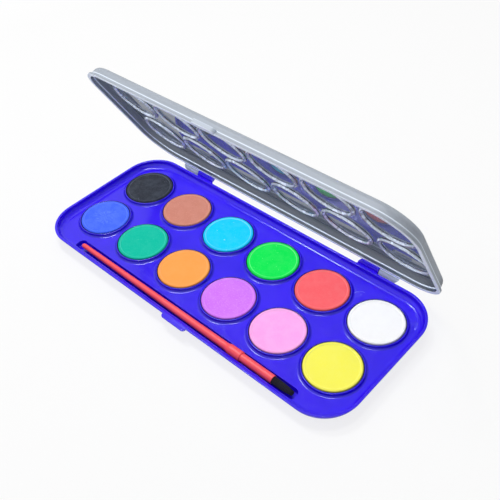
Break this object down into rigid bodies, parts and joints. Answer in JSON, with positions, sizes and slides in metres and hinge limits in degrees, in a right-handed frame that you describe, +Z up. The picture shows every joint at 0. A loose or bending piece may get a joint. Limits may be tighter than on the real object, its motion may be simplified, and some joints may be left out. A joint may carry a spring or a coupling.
{
  "type": "watercolour paint box",
  "caption": "Shallow blue paint box with round pressed watercolour cakes in two rows, a small brush lying in a groove along the front, and a clear hinged lid standing open.",
  "frame": {"origin": "on the surface that the tray stands on, under the middle of the grid of cakes", "axes": "+X along the tray's long side, towards the bristle end of the brush; +Y from the brush groove towards the hinge; +Z up"},
  "size_m": [0.2104, 0.0963, 0.0915],
  "materials": {
    "tray_plastic": "glossy moulded blue plastic",
    "lid_clear": "clear moulded plastic, slightly grey",
    "paint_blue": "matte pressed blue watercolour",
    "paint_teal": "matte pressed teal watercolour",
    "paint_orange": "matte pressed orange watercolour",
    "paint_violet": "matte pressed violet watercolour",
    "paint_pink": "matte pressed pink watercolour",
    "paint_yellow": "matte pressed yellow watercolour",
    "paint_black": "matte pressed black watercolour",
    "paint_brown": "matte pressed brown watercolour",
    "paint_cyan": "matte pressed cyan watercolour",
    "paint_green": "matte pressed green watercolour",
    "paint_red": "matte pressed red watercolour",
    "paint_white": "matte pressed white watercolour",
    "brush_plastic": "glossy coral red plastic",
    "ferrule_plastic": "glossy coral red tube",
    "bristle": "fine black bristles"
  },
  "bodies": {
    "tray": {"tray": "tray_plastic", "paint_cake_blue": "paint_blue", "paint_cake_teal": "paint_teal", "paint_cake_orange": "paint_orange", "paint_cake_violet": "paint_violet", "paint_cake_pink": "paint_pink", "paint_cake_yellow": "paint_yellow", "paint_cake_black": "paint_black", "paint_cake_brown": "paint_brown", "paint_cake_cyan": "paint_cyan", "paint_cake_green": "paint_green", "paint_cake_red": "paint_red", "paint_cake_white": "paint_white"},
    "lid": {"lid": "lid_clear"},
    "brush": {"brush_handle": "brush_plastic", "brush_ferrule": "ferrule_plastic", "brush_bristles": "bristle"}
  },
  "joints": [
    {"name": "lid_hinge", "type": "hinge", "parent": "tray", "child": "lid", "pos_m": [0, 0.0445, 0.00855], "axis": [-1, 0, 0], "range_deg": [-61.4, 118.6]},
    {"name": "brush_lift", "type": "slide", "parent": "tray", "child": "brush", "axis": [0, 0, 1], "range_m": [0, 0.0074]}
  ]
}
